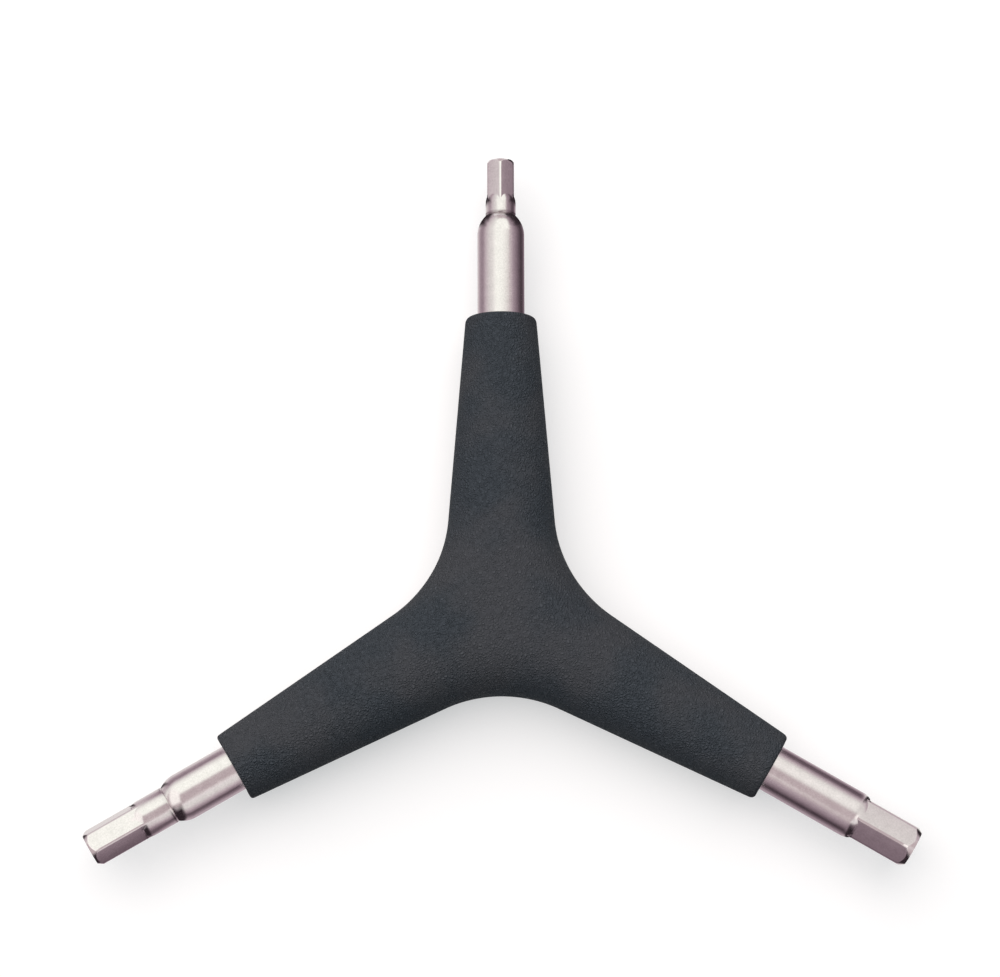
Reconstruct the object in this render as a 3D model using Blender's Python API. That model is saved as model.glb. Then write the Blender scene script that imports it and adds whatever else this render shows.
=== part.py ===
"""Y wrench: 4, 5 and 6 mm hexagon bits held in one three-armed grip, lying flat on a bench.

The origin is the middle of the hub's flat underside. +Z points up and the 4 mm arm points along +Y.
Distances along an arm are measured from the middle of the hub.
"""

import math
from typing import NamedTuple

import bmesh
import bpy
from mathutils import Matrix, Vector

# Steel bits: round shanks that end in a ground hexagon
SHANK_RADIUS = 0.0035
SHANK_FOOT_CHAMFER = 0.0004
GROOVE_DEPTH = 0.0001
GROOVE_WIDTH = 0.0002
CORNER_LAND = math.radians(3.0)
TIP_TAPER = 0.7
FIT_GAP = 0.0003

BIT_4_FLATS = 0.0040
BIT_4_SHANK_SHOWN = 0.0128
BIT_4_SHOULDER = 0.0031
BIT_4_NECK = 0.0016
BIT_4_ROUNDING = 0.0012
BIT_4_HEX_LENGTH = 0.0054
BIT_4_TIP_LAND = 0.00015
BIT_4_CLOCKING = math.radians(-2.0)

BIT_5_FLATS = 0.0050
BIT_5_SHANK_SHOWN = 0.0082
BIT_5_SHOULDER = 0.0024
BIT_5_NECK = 0.0037
BIT_5_ROUNDING = 0.0013
BIT_5_HEX_LENGTH = 0.0079
BIT_5_TIP_LAND = 0.00022
BIT_5_CLOCKING = math.radians(-20.5)

BIT_6_FLATS = 0.0060
BIT_6_SHANK_SHOWN = 0.0135
BIT_6_ROUNDING = 0.0014
BIT_6_HEX_LENGTH = 0.0086
BIT_6_TIP_LAND = 0.00038
BIT_6_CLOCKING = math.radians(10.5)

# Steel hub: a Y fitting with one socket for each shank, and a cross pin through each socket
SOCKET_WALL = 0.0012
SOCKET_WEB = 0.0014
HUB_REACH = 0.0100
HUB_FILLET = 0.0020
PIN_RADIUS = 0.00125
PIN_RECESS = 0.0003
PIN_CHAMFER = 0.0002

# Rigid nylon core, moulded round the hub and the roots of the shanks
CORE_WALL = 0.0011
CORE_REACH = 0.0300

# Soft grip, moulded over the core and closing on each shank at its mouth
GRIP_WALL = 0.0013
MOUTH_WALL = 0.00142
ARM_TAPER = 0.0846
CROTCH_FILLET = 0.0192
CROWN_RISE = 0.0006
ROOT_THICKNESS_SHARE = 0.95
GRIP_4_REACH = 0.0445
GRIP_5_REACH = 0.0448
GRIP_6_REACH = 0.04495
GRIP_4_RIM = 0.0005
GRIP_5_RIM = 0.0004
GRIP_6_RIM = 0.0006
RIM_LIMIT_SHARE = 0.85

# Roundness of the sections: 2 is an ellipse, more is fuller at the corners
HUB_FULLNESS = 2.4
ROOT_FULLNESS = 2.15
ROUND_FULLNESS = 2.0

# Arms stand at even turns, and a hexagon has six sides
ARM_STEP = math.radians(120.0)
HALF_ARM_STEP = ARM_STEP / 2
HEX_STEP = math.radians(60.0)
HEX_SIDES = 6

# Facets
SECTION_SIDES = 24
PIN_SIDES = 16
FILLET_SHARES = (0.0, 0.17, 0.33, 0.5, 0.67, 0.83)
ARM_SHARES = (0.0, 0.33, 0.67, 1.0)
ARC_STEPS = 3
SHOULDER_STEPS = 5
ROUNDING_STEPS = 4
FLAT_COLUMN_SHARES = (0.0, 0.25, 0.5, 0.75)
CUTTER_OVERRUN = 0.0010
WELD_DISTANCE = 0.000001
SHARP_ANGLE = math.radians(35.0)

# Colour, roughness and metallic value of each finish
FINISHES = {
    "satin_chrome": ((0.62, 0.58, 0.57, 1.0), 0.28, 1.0),
    "hub_steel": ((0.42, 0.41, 0.40, 1.0), 0.45, 1.0),
    "pin_steel": ((0.55, 0.54, 0.53, 1.0), 0.35, 1.0),
    "core_nylon": ((0.020, 0.020, 0.022, 1.0), 0.55, 0.0),
    "grip_skin": ((0.045, 0.049, 0.057, 1.0), 0.75, 0.0),
}

# Sizes that follow from the ones above
BORE_RADIUS = SHANK_RADIUS + FIT_GAP
SOCKET_FLOOR = (SOCKET_WEB / 2 + BORE_RADIUS * math.cos(HALF_ARM_STEP)) / math.sin(HALF_ARM_STEP)
SHANK_FOOT = SOCKET_FLOOR + FIT_GAP
HUB_RADIUS = BORE_RADIUS + SOCKET_WALL
PIN_HOLE_RADIUS = PIN_RADIUS + FIT_GAP
PIN_REACH = (SHANK_FOOT + HUB_REACH) / 2
GRIP_FLAT = HUB_RADIUS + FIT_GAP + CORE_WALL + FIT_GAP + GRIP_WALL
CORE_INSET = GRIP_WALL + FIT_GAP
MOUTH_RADIUS = BORE_RADIUS + MOUTH_WALL
TAPER_DATUM = min(GRIP_4_REACH, GRIP_5_REACH, GRIP_6_REACH)
BENCH_TO_MIDDLE = GRIP_FLAT


class Bit(NamedTuple):
    """One hexagon bit and the grip mouth that it stands in."""

    name: str
    turn: float
    grip_reach: float
    grip_rim: float
    flats: float
    shank_shown: float
    shoulder: float
    neck: float
    rounding: float
    hex_length: float
    tip_land: float
    clocking: float


class YShape(NamedTuple):
    """A three-armed body, symmetrical about its middle plane."""

    crotch: float
    crown: float
    flat: float
    root: float
    root_width: float
    root_height: float
    width_taper: float
    height_taper: float
    round_at: float


BITS = (
    Bit("4mm", math.radians(90.0), GRIP_4_REACH, GRIP_4_RIM, BIT_4_FLATS, BIT_4_SHANK_SHOWN,
        BIT_4_SHOULDER, BIT_4_NECK, BIT_4_ROUNDING, BIT_4_HEX_LENGTH, BIT_4_TIP_LAND, BIT_4_CLOCKING),
    Bit("5mm", math.radians(210.0), GRIP_5_REACH, GRIP_5_RIM, BIT_5_FLATS, BIT_5_SHANK_SHOWN,
        BIT_5_SHOULDER, BIT_5_NECK, BIT_5_ROUNDING, BIT_5_HEX_LENGTH, BIT_5_TIP_LAND, BIT_5_CLOCKING),
    Bit("6mm", math.radians(330.0), GRIP_6_REACH, GRIP_6_RIM, BIT_6_FLATS, BIT_6_SHANK_SHOWN,
        0, 0, BIT_6_ROUNDING, BIT_6_HEX_LENGTH, BIT_6_TIP_LAND, BIT_6_CLOCKING),
)


def clear_scene():
    """Remove every object that the scene holds."""
    for obj in list(bpy.data.objects):
        bpy.data.objects.remove(obj, do_unlink=True)


def make_material(name):
    """A Principled material with the colour, roughness and metallic value of a finish."""
    colour, roughness, metallic = FINISHES[name]
    material = bpy.data.materials.new(name)
    material.use_nodes = True
    shader = material.node_tree.nodes["Principled BSDF"]
    shader.inputs["Base Color"].default_value = colour
    shader.inputs["Roughness"].default_value = roughness
    shader.inputs["Metallic"].default_value = metallic
    material.diffuse_color = colour
    return material


def make_empty(name, parent, location, turn):
    """An empty that carries other objects."""
    empty = bpy.data.objects.new(name, None)
    empty.parent = parent
    empty.location = location
    empty.rotation_euler = (0, 0, turn)
    bpy.context.scene.collection.objects.link(empty)
    return empty


def make_object(name, bm, material, parent):
    """Turn a finished bmesh into a smooth-shaded object."""
    bmesh.ops.recalc_face_normals(bm, faces=bm.faces)
    mesh = bpy.data.meshes.new(name)
    bm.to_mesh(mesh)
    bm.free()
    mesh.shade_smooth()
    mesh.set_sharp_from_angle(angle=SHARP_ANGLE)
    obj = bpy.data.objects.new(name, mesh)
    obj.parent = parent
    bpy.context.scene.collection.objects.link(obj)
    if material is not None:
        mesh.materials.append(material)
    return obj


def cut(obj, cutter):
    """Take a cutter's space out of an object, and keep the cutter as a guide only."""
    cutter.hide_render = True
    cutter.display_type = 'WIRE'
    modifier = obj.modifiers.new("cut_" + cutter.name, 'BOOLEAN')
    modifier.operation = 'DIFFERENCE'
    modifier.solver = 'EXACT'
    modifier.object = cutter


def add_cylinder(bm, radius, low, high, sides, placement):
    """A capped cylinder from low to high along Z, then placed."""
    middle = Matrix.Translation((0, 0, (low + high) / 2))
    bmesh.ops.create_cone(bm, cap_ends=True, cap_tris=False, segments=sides, radius1=radius,
                          radius2=radius, depth=high - low, matrix=placement @ middle)


def along_arm(turn):
    """Placement that lays +Z along the arm at a turn, with the facets square to the bench."""
    return Matrix.Rotation(turn, 4, 'Z') @ Matrix.Rotation(math.pi / 2, 4, 'Y')


def join_sections(bm, rings, placement):
    """Join each section to the next with one face for each side, and give back the rows of vertices."""
    rows = [[bm.verts.new(placement @ point) for point in points] for points in rings]
    for near, far in zip(rows, rows[1:]):
        for side in range(len(near)):
            after = (side + 1) % len(near)
            corners = [near[side], near[after], far[after], far[side]]
            bm.faces.new(corners)
    return rows


def spin_profile(points, sides):
    """Spin (distance, radius) points about +X into a closed solid with flat ends."""
    bm = bmesh.new()
    verts = [bm.verts.new((distance, 0, radius)) for distance, radius in points]
    edges = [bm.edges.new(pair) for pair in zip(verts, verts[1:])]
    bmesh.ops.spin(bm, geom=verts + edges, cent=(0, 0, 0), axis=(1, 0, 0), angle=math.tau,
                   steps=sides, use_merge=True)
    bmesh.ops.remove_doubles(bm, verts=bm.verts, dist=WELD_DISTANCE)
    bmesh.ops.holes_fill(bm, edges=[edge for edge in bm.edges if edge.is_boundary], sides=sides)
    return bm


def corner_radius(bit):
    """Half the hexagon's size across its rounded corners."""
    return bit.flats / 2 / math.cos(HEX_STEP / 2 - CORNER_LAND)


def neck_radius(bit):
    """Radius of the bar that the hexagon is ground from: a neck, or the shank where it has no shoulder."""
    return corner_radius(bit) if bit.shoulder else SHANK_RADIUS


def neck_start(bit):
    """Distance at which the plain neck begins."""
    return bit.grip_reach + bit.shank_shown + bit.shoulder + (GROOVE_WIDTH if bit.shoulder else 0)


def rounding_start(bit):
    """Distance at which the round bar begins to fall away and the corners of the hexagon stay."""
    return neck_start(bit) + bit.neck


def hex_start(bit):
    """Distance at which the flats are whole."""
    return rounding_start(bit) + bit.rounding


def tip_reach(bit):
    """Distance of the bit's end face."""
    return hex_start(bit) + bit.hex_length


def tip_distance(bit, radius):
    """Distance at which the cone of the end chamfer has a radius."""
    return tip_reach(bit) - (radius - (bit.flats / 2 - bit.tip_land)) / TIP_TAPER


def falling_arc(start, end, steps):
    """Points of an arc that leaves (distance, radius) start along the axis and falls to end."""
    length, drop = end[0] - start[0], start[1] - end[1]
    arc_radius = (length ** 2 + drop ** 2) / (2 * drop)
    points = []
    for step in range(1, steps + 1):
        onward = length * step / steps
        fall = arc_radius - math.sqrt(arc_radius ** 2 - onward ** 2)
        points.append((start[0] + onward, start[1] - fall))
    return points


def bit_profile(bit):
    """Turned outline of a bit as (distance, radius) points, from the foot of its shank to its tip."""
    shank_end = (bit.grip_reach + bit.shank_shown, SHANK_RADIUS)
    points = [(SHANK_FOOT, SHANK_RADIUS - SHANK_FOOT_CHAMFER)]
    points += [(SHANK_FOOT + SHANK_FOOT_CHAMFER, SHANK_RADIUS), shank_end]
    if bit.shoulder:
        groove = (shank_end[0] + bit.shoulder, neck_radius(bit) - GROOVE_DEPTH)
        points += falling_arc(shank_end, groove, SHOULDER_STEPS)
        points += [(neck_start(bit), neck_radius(bit)), (rounding_start(bit), neck_radius(bit))]
    points += falling_arc(points[-1], (hex_start(bit), bit.flats / 2), ROUNDING_STEPS)
    radii = (corner_radius(bit), bit.flats / 2, bit.flats / 2 - bit.tip_land)
    points += [(tip_distance(bit, radius), min(radius, bit.flats / 2)) for radius in radii]
    return points


def column_angles():
    """Angles of a bit's facets: two on each rounded corner, and the rest shared over each flat."""
    flat = HEX_STEP - 2 * CORNER_LAND
    columns = [-CORNER_LAND] + [CORNER_LAND + flat * share for share in FLAT_COLUMN_SHARES]
    return [HEX_STEP * side + column for side in range(HEX_SIDES) for column in columns]


def bit_point(bit, distance, radius, angle):
    """Point of a bit: on the turned outline, or on the hexagon and its end chamfer where they are prouder."""
    if distance > rounding_start(bit):
        off_middle = angle % HEX_STEP - HEX_STEP / 2
        hexagon = min(bit.flats / 2 / math.cos(off_middle), corner_radius(bit))
        chamfer = bit.flats / 2 - bit.tip_land + (tip_reach(bit) - distance) * TIP_TAPER
        radius = max(radius, min(hexagon, chamfer))
    turned = angle + bit.clocking
    return Vector((distance, -radius * math.sin(turned), radius * math.cos(turned)))


def make_bit(bit, arm, material):
    """Shank, shoulder, neck and hexagon in one steel bar, with its cross hole."""
    bm = bmesh.new()
    rings = [[bit_point(bit, distance, radius, angle) for angle in column_angles()]
             for distance, radius in bit_profile(bit)]
    rows = join_sections(bm, rings, Matrix.Identity(3))
    bm.faces.new(rows[0])
    bm.faces.new(rows[-1])
    obj = make_object("hex_bit_" + bit.name, bm, material, arm)
    cutter = bmesh.new()
    reach = SHANK_RADIUS + CUTTER_OVERRUN
    add_cylinder(cutter, PIN_HOLE_RADIUS, -reach, reach, PIN_SIDES, Matrix.Translation((PIN_REACH, 0, 0)))
    cut(obj, make_object("cross_hole_" + bit.name, cutter, None, arm))


def make_pin(bit, arm, material):
    """Plain cross pin that locks a shank in its socket."""
    half = HUB_RADIUS - PIN_RECESS
    profile = [(-half, PIN_RADIUS - PIN_CHAMFER), (-half + PIN_CHAMFER, PIN_RADIUS),
               (half - PIN_CHAMFER, PIN_RADIUS), (half, PIN_RADIUS - PIN_CHAMFER)]
    bm = spin_profile(profile, PIN_SIDES)
    bmesh.ops.rotate(bm, verts=bm.verts, cent=(0, 0, 0), matrix=Matrix.Rotation(-math.pi / 2, 3, 'Y'))
    bmesh.ops.translate(bm, verts=bm.verts, vec=(PIN_REACH, 0, 0))
    make_object("hub_pin_" + bit.name, bm, material, arm)


def section_point(half_width, half_height, fullness, angle):
    """Point of a rounded section: (across, up), with the angle taken from the top."""
    across = math.copysign(abs(math.sin(angle)) ** (2 / fullness), math.sin(angle))
    up = math.copysign(abs(math.cos(angle)) ** (2 / fullness), math.cos(angle))
    return half_width * across, half_height * up


def flattened(shape, points):
    """Points with their height held to the flat that the hub has on each side."""
    return [Vector((point.x, point.y, max(-shape.flat, min(shape.flat, point.z)))) for point in points]


def seam_point(shape, angle):
    """Point where two arms meet, in the plane half-way between them."""
    out, up = section_point(shape.crotch, shape.crown, HUB_FULLNESS, angle)
    side = math.copysign(1, out)
    return Vector((abs(out) * math.cos(HALF_ARM_STEP), side * abs(out) * math.sin(HALF_ARM_STEP), up))


def arm_point(shape, distance, angle):
    """Point of a straight, tapered arm at a distance from the middle."""
    share = (distance - shape.root) / (shape.round_at - shape.root)
    fullness = ROOT_FULLNESS + (ROUND_FULLNESS - ROOT_FULLNESS) * min(share, 1)
    half_width = shape.root_width - shape.width_taper * (distance - shape.root)
    half_height = shape.root_height - shape.height_taper * (distance - shape.root)
    across, up = section_point(half_width, half_height, fullness, angle)
    return Vector((distance, across, up))


def fillet_point(shape, angle, share):
    """Point of the fillet that runs from the seam between two arms to the root of one."""
    start = seam_point(shape, angle)
    end = arm_point(shape, shape.root, angle)
    side = math.copysign(1, start.y)
    spread = math.hypot(start.x, start.y) / shape.crotch
    outline = arm_point(shape, shape.root, math.pi / 2) - seam_point(shape, math.pi / 2)
    leave = Vector((math.sin(HALF_ARM_STEP), -side * math.cos(HALF_ARM_STEP), 0)) * outline.length * spread
    along = Vector((1, -shape.width_taper * end.y / shape.root_width,
                    -shape.height_taper * end.z / shape.root_height))
    arrive = along.normalized() * (end - start).length
    square, cube = share ** 2, share ** 3
    point = start * (2 * cube - 3 * square + 1) + leave * (cube - 2 * square + share)
    return point + end * (3 * square - 2 * cube) + arrive * (cube - square)


def ring(point_at):
    """Points of one section, from the top round to the top."""
    return [point_at(math.tau * side / SECTION_SIDES) for side in range(SECTION_SIDES)]


def hub_rings(shape):
    """Sections from the seam up to the root of an arm, with the hub's flats."""
    rings = [ring(lambda angle, at=share: fillet_point(shape, angle, at)) for share in FILLET_SHARES]
    return [flattened(shape, points) for points in rings]


def arm_rings(shape, end):
    """Sections of the straight part of an arm, from its root to its end."""
    distances = [shape.root + (end - shape.root) * share for share in ARM_SHARES]
    rings = [ring(lambda angle, at=distance: arm_point(shape, at, angle)) for distance in distances]
    return [flattened(shape, points) for points in rings]


def round_ring(distance, radius):
    """Round section at a distance along an arm."""
    return ring(lambda angle: Vector((distance, *section_point(radius, radius, ROUND_FULLNESS, angle))))


def loft(bm, rings, turn, capped):
    """Skin a row of sections for the arm at a turn, and close its last section if asked."""
    rows = join_sections(bm, rings, Matrix.Rotation(turn, 3, 'Z'))
    if capped:
        bm.faces.new(rows[-1])


def y_solid(shape, reach):
    """Closed three-armed solid whose arms end flat."""
    bm = bmesh.new()
    for bit in BITS:
        loft(bm, hub_rings(shape) + arm_rings(shape, reach), bit.turn, True)
    bmesh.ops.remove_doubles(bm, verts=bm.verts, dist=WELD_DISTANCE)
    return bm


def inset(shape, depth):
    """The same three-armed shape with every face moved in by a depth."""
    return shape._replace(crotch=shape.crotch - depth, crown=shape.crown - depth, flat=shape.flat - depth,
                          root_width=shape.root_width - depth, root_height=shape.root_height - depth)


def filleted_shape(end, end_radius, taper, fillet, thickness_share, flat, rise):
    """Shape of a body whose arms taper to a round end and meet in tangent fillets."""
    slope = math.atan(taper)
    to_bisector = HALF_ARM_STEP + slope
    centre_width = end_radius + taper * end
    corner = centre_width / (math.sin(HALF_ARM_STEP) + taper * math.cos(HALF_ARM_STEP))
    crotch = corner + fillet * (1 / math.sin(to_bisector) - 1)
    root = corner * math.cos(HALF_ARM_STEP) + fillet / math.tan(to_bisector) * math.cos(slope)
    root_width = centre_width - taper * root
    root_height = root_width * thickness_share
    height_taper = (root_height - end_radius) / (end - root)
    return YShape(crotch, flat + rise, flat, root, root_width, root_height, taper, height_taper, end)


def grip_shape():
    """Outer form of the grip."""
    return filleted_shape(TAPER_DATUM, MOUTH_RADIUS, ARM_TAPER, CROTCH_FILLET, ROOT_THICKNESS_SHARE,
                          GRIP_FLAT, CROWN_RISE)


def hub_shape():
    """Outer form of the steel hub: three plain stubs of one radius."""
    return filleted_shape(HUB_REACH, HUB_RADIUS, 0, HUB_FILLET, 1, HUB_RADIUS, 0)


def mouth_radius(shape, bit):
    """Radius of an arm of the grip at its mouth."""
    return shape.root_width - shape.width_taper * (bit.grip_reach - shape.root)


def rim_radius(shape, bit):
    """Rounding of a mouth's outer edge, kept inside the wall that it rounds."""
    return min(bit.grip_rim, (mouth_radius(shape, bit) - BORE_RADIUS) * RIM_LIMIT_SHARE)


def mouth_rings(shape, bit):
    """Sections round a mouth of the grip: its rim, its end face and the bore down to the core."""
    radius, rim = mouth_radius(shape, bit), rim_radius(shape, bit)
    rings = []
    for step in range(1, ARC_STEPS + 1):
        angle = math.pi / 2 * step / ARC_STEPS
        rings.append(round_ring(bit.grip_reach - rim * (1 - math.sin(angle)),
                                radius - rim * (1 - math.cos(angle))))
    rings.append(round_ring(bit.grip_reach, BORE_RADIUS))
    rings.append(round_ring(CORE_REACH + FIT_GAP, BORE_RADIUS))
    return rings


def make_grip(middle, material):
    """Soft skin with its rounded mouths, and the hollow that the core fills."""
    shape = grip_shape()
    hollow = inset(shape, GRIP_WALL)
    bm = bmesh.new()
    for bit in BITS:
        skin = hub_rings(shape) + arm_rings(shape, bit.grip_reach - rim_radius(shape, bit))
        lining = hub_rings(hollow) + arm_rings(hollow, CORE_REACH + FIT_GAP)
        loft(bm, skin + mouth_rings(shape, bit) + lining[::-1], bit.turn, False)
    bmesh.ops.remove_doubles(bm, verts=bm.verts, dist=WELD_DISTANCE)
    make_object("grip", bm, material, middle)


def make_core(middle, material):
    """Rigid body between grip and hub, hollowed for the hub and bored for the shanks."""
    core = make_object("inner_core", y_solid(inset(grip_shape(), CORE_INSET), CORE_REACH), material, middle)
    pocket = y_solid(inset(hub_shape(), -FIT_GAP), HUB_REACH + FIT_GAP)
    cut(core, make_object("hub_pocket", pocket, None, middle))
    bores = bmesh.new()
    for bit in BITS:
        add_cylinder(bores, BORE_RADIUS, PIN_REACH, CORE_REACH + CUTTER_OVERRUN, SECTION_SIDES,
                     along_arm(bit.turn))
    cut(core, make_object("shank_bores", bores, None, middle))


def make_hub(middle, material):
    """Steel Y fitting with three blind sockets and their cross holes."""
    hub = make_object("centre_hub", y_solid(hub_shape(), HUB_REACH), material, middle)
    sockets = bmesh.new()
    holes = bmesh.new()
    reach = HUB_RADIUS + CUTTER_OVERRUN
    for bit in BITS:
        add_cylinder(sockets, BORE_RADIUS, SOCKET_FLOOR, HUB_REACH + CUTTER_OVERRUN, SECTION_SIDES,
                     along_arm(bit.turn))
        at_pin = Matrix.Rotation(bit.turn, 4, 'Z') @ Matrix.Translation((PIN_REACH, 0, 0))
        add_cylinder(holes, PIN_HOLE_RADIUS, -reach, reach, PIN_SIDES, at_pin)
    cut(hub, make_object("sockets", sockets, None, middle))
    cut(hub, make_object("pin_holes", holes, None, middle))


def main():
    """Build the wrench, lying on the bench."""
    clear_scene()
    materials = {name: make_material(name) for name in FINISHES}
    middle = make_empty("y_wrench", None, (0, 0, BENCH_TO_MIDDLE), 0)
    for bit in BITS:
        arm = make_empty("arm_" + bit.name, middle, (0, 0, 0), bit.turn)
        make_bit(bit, arm, materials["satin_chrome"])
        make_pin(bit, arm, materials["pin_steel"])
    make_hub(middle, materials["hub_steel"])
    make_core(middle, materials["core_nylon"])
    make_grip(middle, materials["grip_skin"])


main()
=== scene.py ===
"""Y wrench dressed for its picture: a soft three-armed grip with 4, 5 and 6 mm hexagon bits, on a bench.

Lengths are in metres. The wrench lies with its middle plane MIDDLE above the bench, and the 4 mm arm
points along +Y. Distances along an arm are measured from the middle of the hub.
"""

import math
from typing import NamedTuple

import bmesh
import bpy
from bpy.props import FloatProperty, FloatVectorProperty, PointerProperty
from bpy.types import Operator, Panel, PropertyGroup
from mathutils import Matrix, Vector


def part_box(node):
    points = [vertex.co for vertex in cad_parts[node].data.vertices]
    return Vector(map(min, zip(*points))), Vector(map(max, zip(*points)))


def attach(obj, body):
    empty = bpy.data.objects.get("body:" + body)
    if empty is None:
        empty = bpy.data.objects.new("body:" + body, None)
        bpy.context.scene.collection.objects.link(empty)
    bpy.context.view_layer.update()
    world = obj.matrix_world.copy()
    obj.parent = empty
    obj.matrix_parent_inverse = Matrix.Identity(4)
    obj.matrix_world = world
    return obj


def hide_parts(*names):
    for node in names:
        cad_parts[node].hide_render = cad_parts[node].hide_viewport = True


bl_info = {
    "name": "Y Wrench",
    "version": (1, 0, 0),
    "blender": (4, 5, 0),
    "location": "3D View > Sidebar > Y Wrench",
    "description": "Models a three-armed hexagon wrench and the studio that it is pictured in",
    "category": "Object",
}

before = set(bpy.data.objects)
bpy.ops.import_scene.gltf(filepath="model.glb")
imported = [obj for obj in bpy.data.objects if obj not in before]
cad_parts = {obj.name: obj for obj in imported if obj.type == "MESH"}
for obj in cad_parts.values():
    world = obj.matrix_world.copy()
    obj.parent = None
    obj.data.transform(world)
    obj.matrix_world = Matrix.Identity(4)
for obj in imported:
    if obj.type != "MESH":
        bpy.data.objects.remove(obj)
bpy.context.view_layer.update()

# Arms: the bit that each one holds, and its turn from +X
ARM_TURNS = {"4mm": math.radians(90.0), "5mm": math.radians(210.0), "6mm": math.radians(330.0)}
HALF_ARM_STEP = math.radians(60.0)
HEX_STEP = math.radians(60.0)

# Places taken from the frame
GRIP_LOW, GRIP_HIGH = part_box("grip")
MIDDLE = (GRIP_LOW.z + GRIP_HIGH.z) / 2
HALF_THICKNESS = (GRIP_HIGH.z - GRIP_LOW.z) / 2

# Fineness of the meshes
GRIP_SIDES = 72
GRIP_FILLET_RINGS = 16
GRIP_ARM_RINGS = 26
GRIP_RIM_RINGS = 6
LIP_RINGS = 3
LINING_RINGS = 10
SIDE_CROWDING = 0.7
BIT_SIDES = 240
SHOULDER_RINGS = 30
GROOVE_RINGS = 4
ROUNDING_RINGS = 30
HEX_RINGS = 6
CHAMFER_RINGS = 10
HOLE_SIDES = 48
FLOOR_SIDES = 64
WELD_DISTANCE = 0.000001
SHARP_ANGLE = math.radians(42.0)

# Textures: fineness and octaves of their noise, and the ranges that their values are spread from and to
WARP_FINENESS = 0.45
WARP_REACH = 0.0008
CREASE_FINENESS = 2.6
CREASE_SHARE = 0.9
CREASE_ROUGHNESS = 0.6
CREASE_OCTAVES = 3.0
MOTTLE_ROUGHNESS = 0.65
MOTTLE_OCTAVES = 4.0
CLOUD_FINENESS = 0.22
PATCH_FINENESS = 90.0
BROAD_OCTAVES = 2.0
WHOLE = (0.0, 1.0)
PEBBLE_SLOPE = (0.0, 0.45)
NOISE_RANGE = (0.35, 0.65)
CLOUD_RANGE = (0.3, 0.7)
# Range of the grain's relief that is spread over the painted shade in its hollows.
RELIEF_SHADE_RANGE = (0.4, 1.35)
RELIEF_RANGE = (0.5, 1.45)
SKIN_ROUGHNESS = (0.75, 0.55)

# How far a finish strays to each side of its mean
# Painted shade: the skin is darker in the grain's hollows and lighter on its pebble tops, by this much to
# each side.
SKIN_HOLLOW_SHADING = 0.12
PLATE_CLOUDING = 0.03
PLATE_SPECKLING = 0.045
PLATE_UNEVENNESS = 0.02
INNER_CLOUDING = 0.15
INNER_UNEVENNESS = 0.08

# What rubbing does to the plating at a corner
RUBBED_SHARE = 0.5
RUBBED_SMOOTHING = 0.06

# Floor and lamp, with directions from the hub in degrees
FLOOR_RADIUS = 4.0
WHITE = (1, 1, 1, 1)
LAMP_AZIMUTH = 122
LAMP_ELEVATION = 68
LAMP_DISTANCE = 1.2
LAMP_WIDTH = 2.0
LAMP_TINT = (1.0, 0.91, 0.89)

# Flat cards: direction, size, shares that fade at the sides, foot and head, lighting setting, tint
FLAT_CARD_DISTANCE = 0.6
FLAT_CARD_STEPS = 24
FLAT_CARDS = {
    "softbox": {"azimuth": 108, "elevation": 53, "half_width": 0.72, "half_height": 0.385,
                "fade": (0.25, 0.4, 0.05), "level": "softbox_level", "tint": (0.97, 1.0, 0.94)},
    "front_card": {"azimuth": -61, "elevation": 35, "half_width": 0.42, "half_height": 0.25,
                   "fade": (0.4, 0.4, 0.4), "level": "front_level", "tint": (1.0, 0.96, 0.96)},
    "left_card": {"azimuth": 190, "elevation": 47, "half_width": 0.46, "half_height": 0.28,
                  "fade": (0.4, 0.3, 0.3), "level": "softbox_level", "tint": (1.0, 0.98, 0.95)},
    "right_card": {"azimuth": 320, "elevation": 42, "half_width": 0.20, "half_height": 0.25,
                   "fade": (0.5, 0.3, 0.4), "level": "softbox_level", "tint": (1.0, 0.96, 0.94)},
}

# Cards bent round each bit, with angles from the top in degrees
FULL_TURN = 360
SIDES = {"left": 1, "right": -1}
CARD_RADIUS = 0.0076
CARD_OVERHANG = 0.0100
CARD_STEPS = 60
CARD_FADE = 14.0
CARD_LOW_EDGE = 155
CARD_SLACK = 1
CARD_DARK_TINT = (1.29, 0.90, 1.13)
CARD_LIGHT_TINT = (1.0, 0.99, 0.96)
CARD_LIGHTEST = 1.05

# Tones of the cards beside each bit, by the angle from the top
SHANK_TONES = {
    ("4mm", "left"): ((18, 1.30), (32, 1.12), (48, 0.95), (63, 0.70), (79, 0.35), (96, 0.39), (111, 0.64),
                      (126, 0.86)),
    ("4mm", "right"): ((30, 1.05), (46, 0.48), (63, 0.27), (78, 0.13), (94, 0.06), (110, 0.11), (125, 0.26)),
    ("5mm", "left"): ((34, 1.10), (53, 0.98), (69, 0.52), (86, 0.09), (102, 0.27), (119, 0.53), (155, 0.6)),
    ("5mm", "right"): ((40, 1.38), (56, 1.07), (72, 0.28), (89, 0.43), (106, 0.87), (155, 0.92)),
    ("6mm", "left"): ((-6, 1.10), (8, 1.22), (23, 1.30), (40, 1.12), (56, 0.61), (72, 0.16), (89, 0.11),
                      (106, 0.38), (122, 0.67)),
    ("6mm", "right"): ((37, 0.57), (53, 0.46), (69, 0.24), (86, 0.04), (102, 0.19), (119, 0.43), (155, 0.5)),
}
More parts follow.
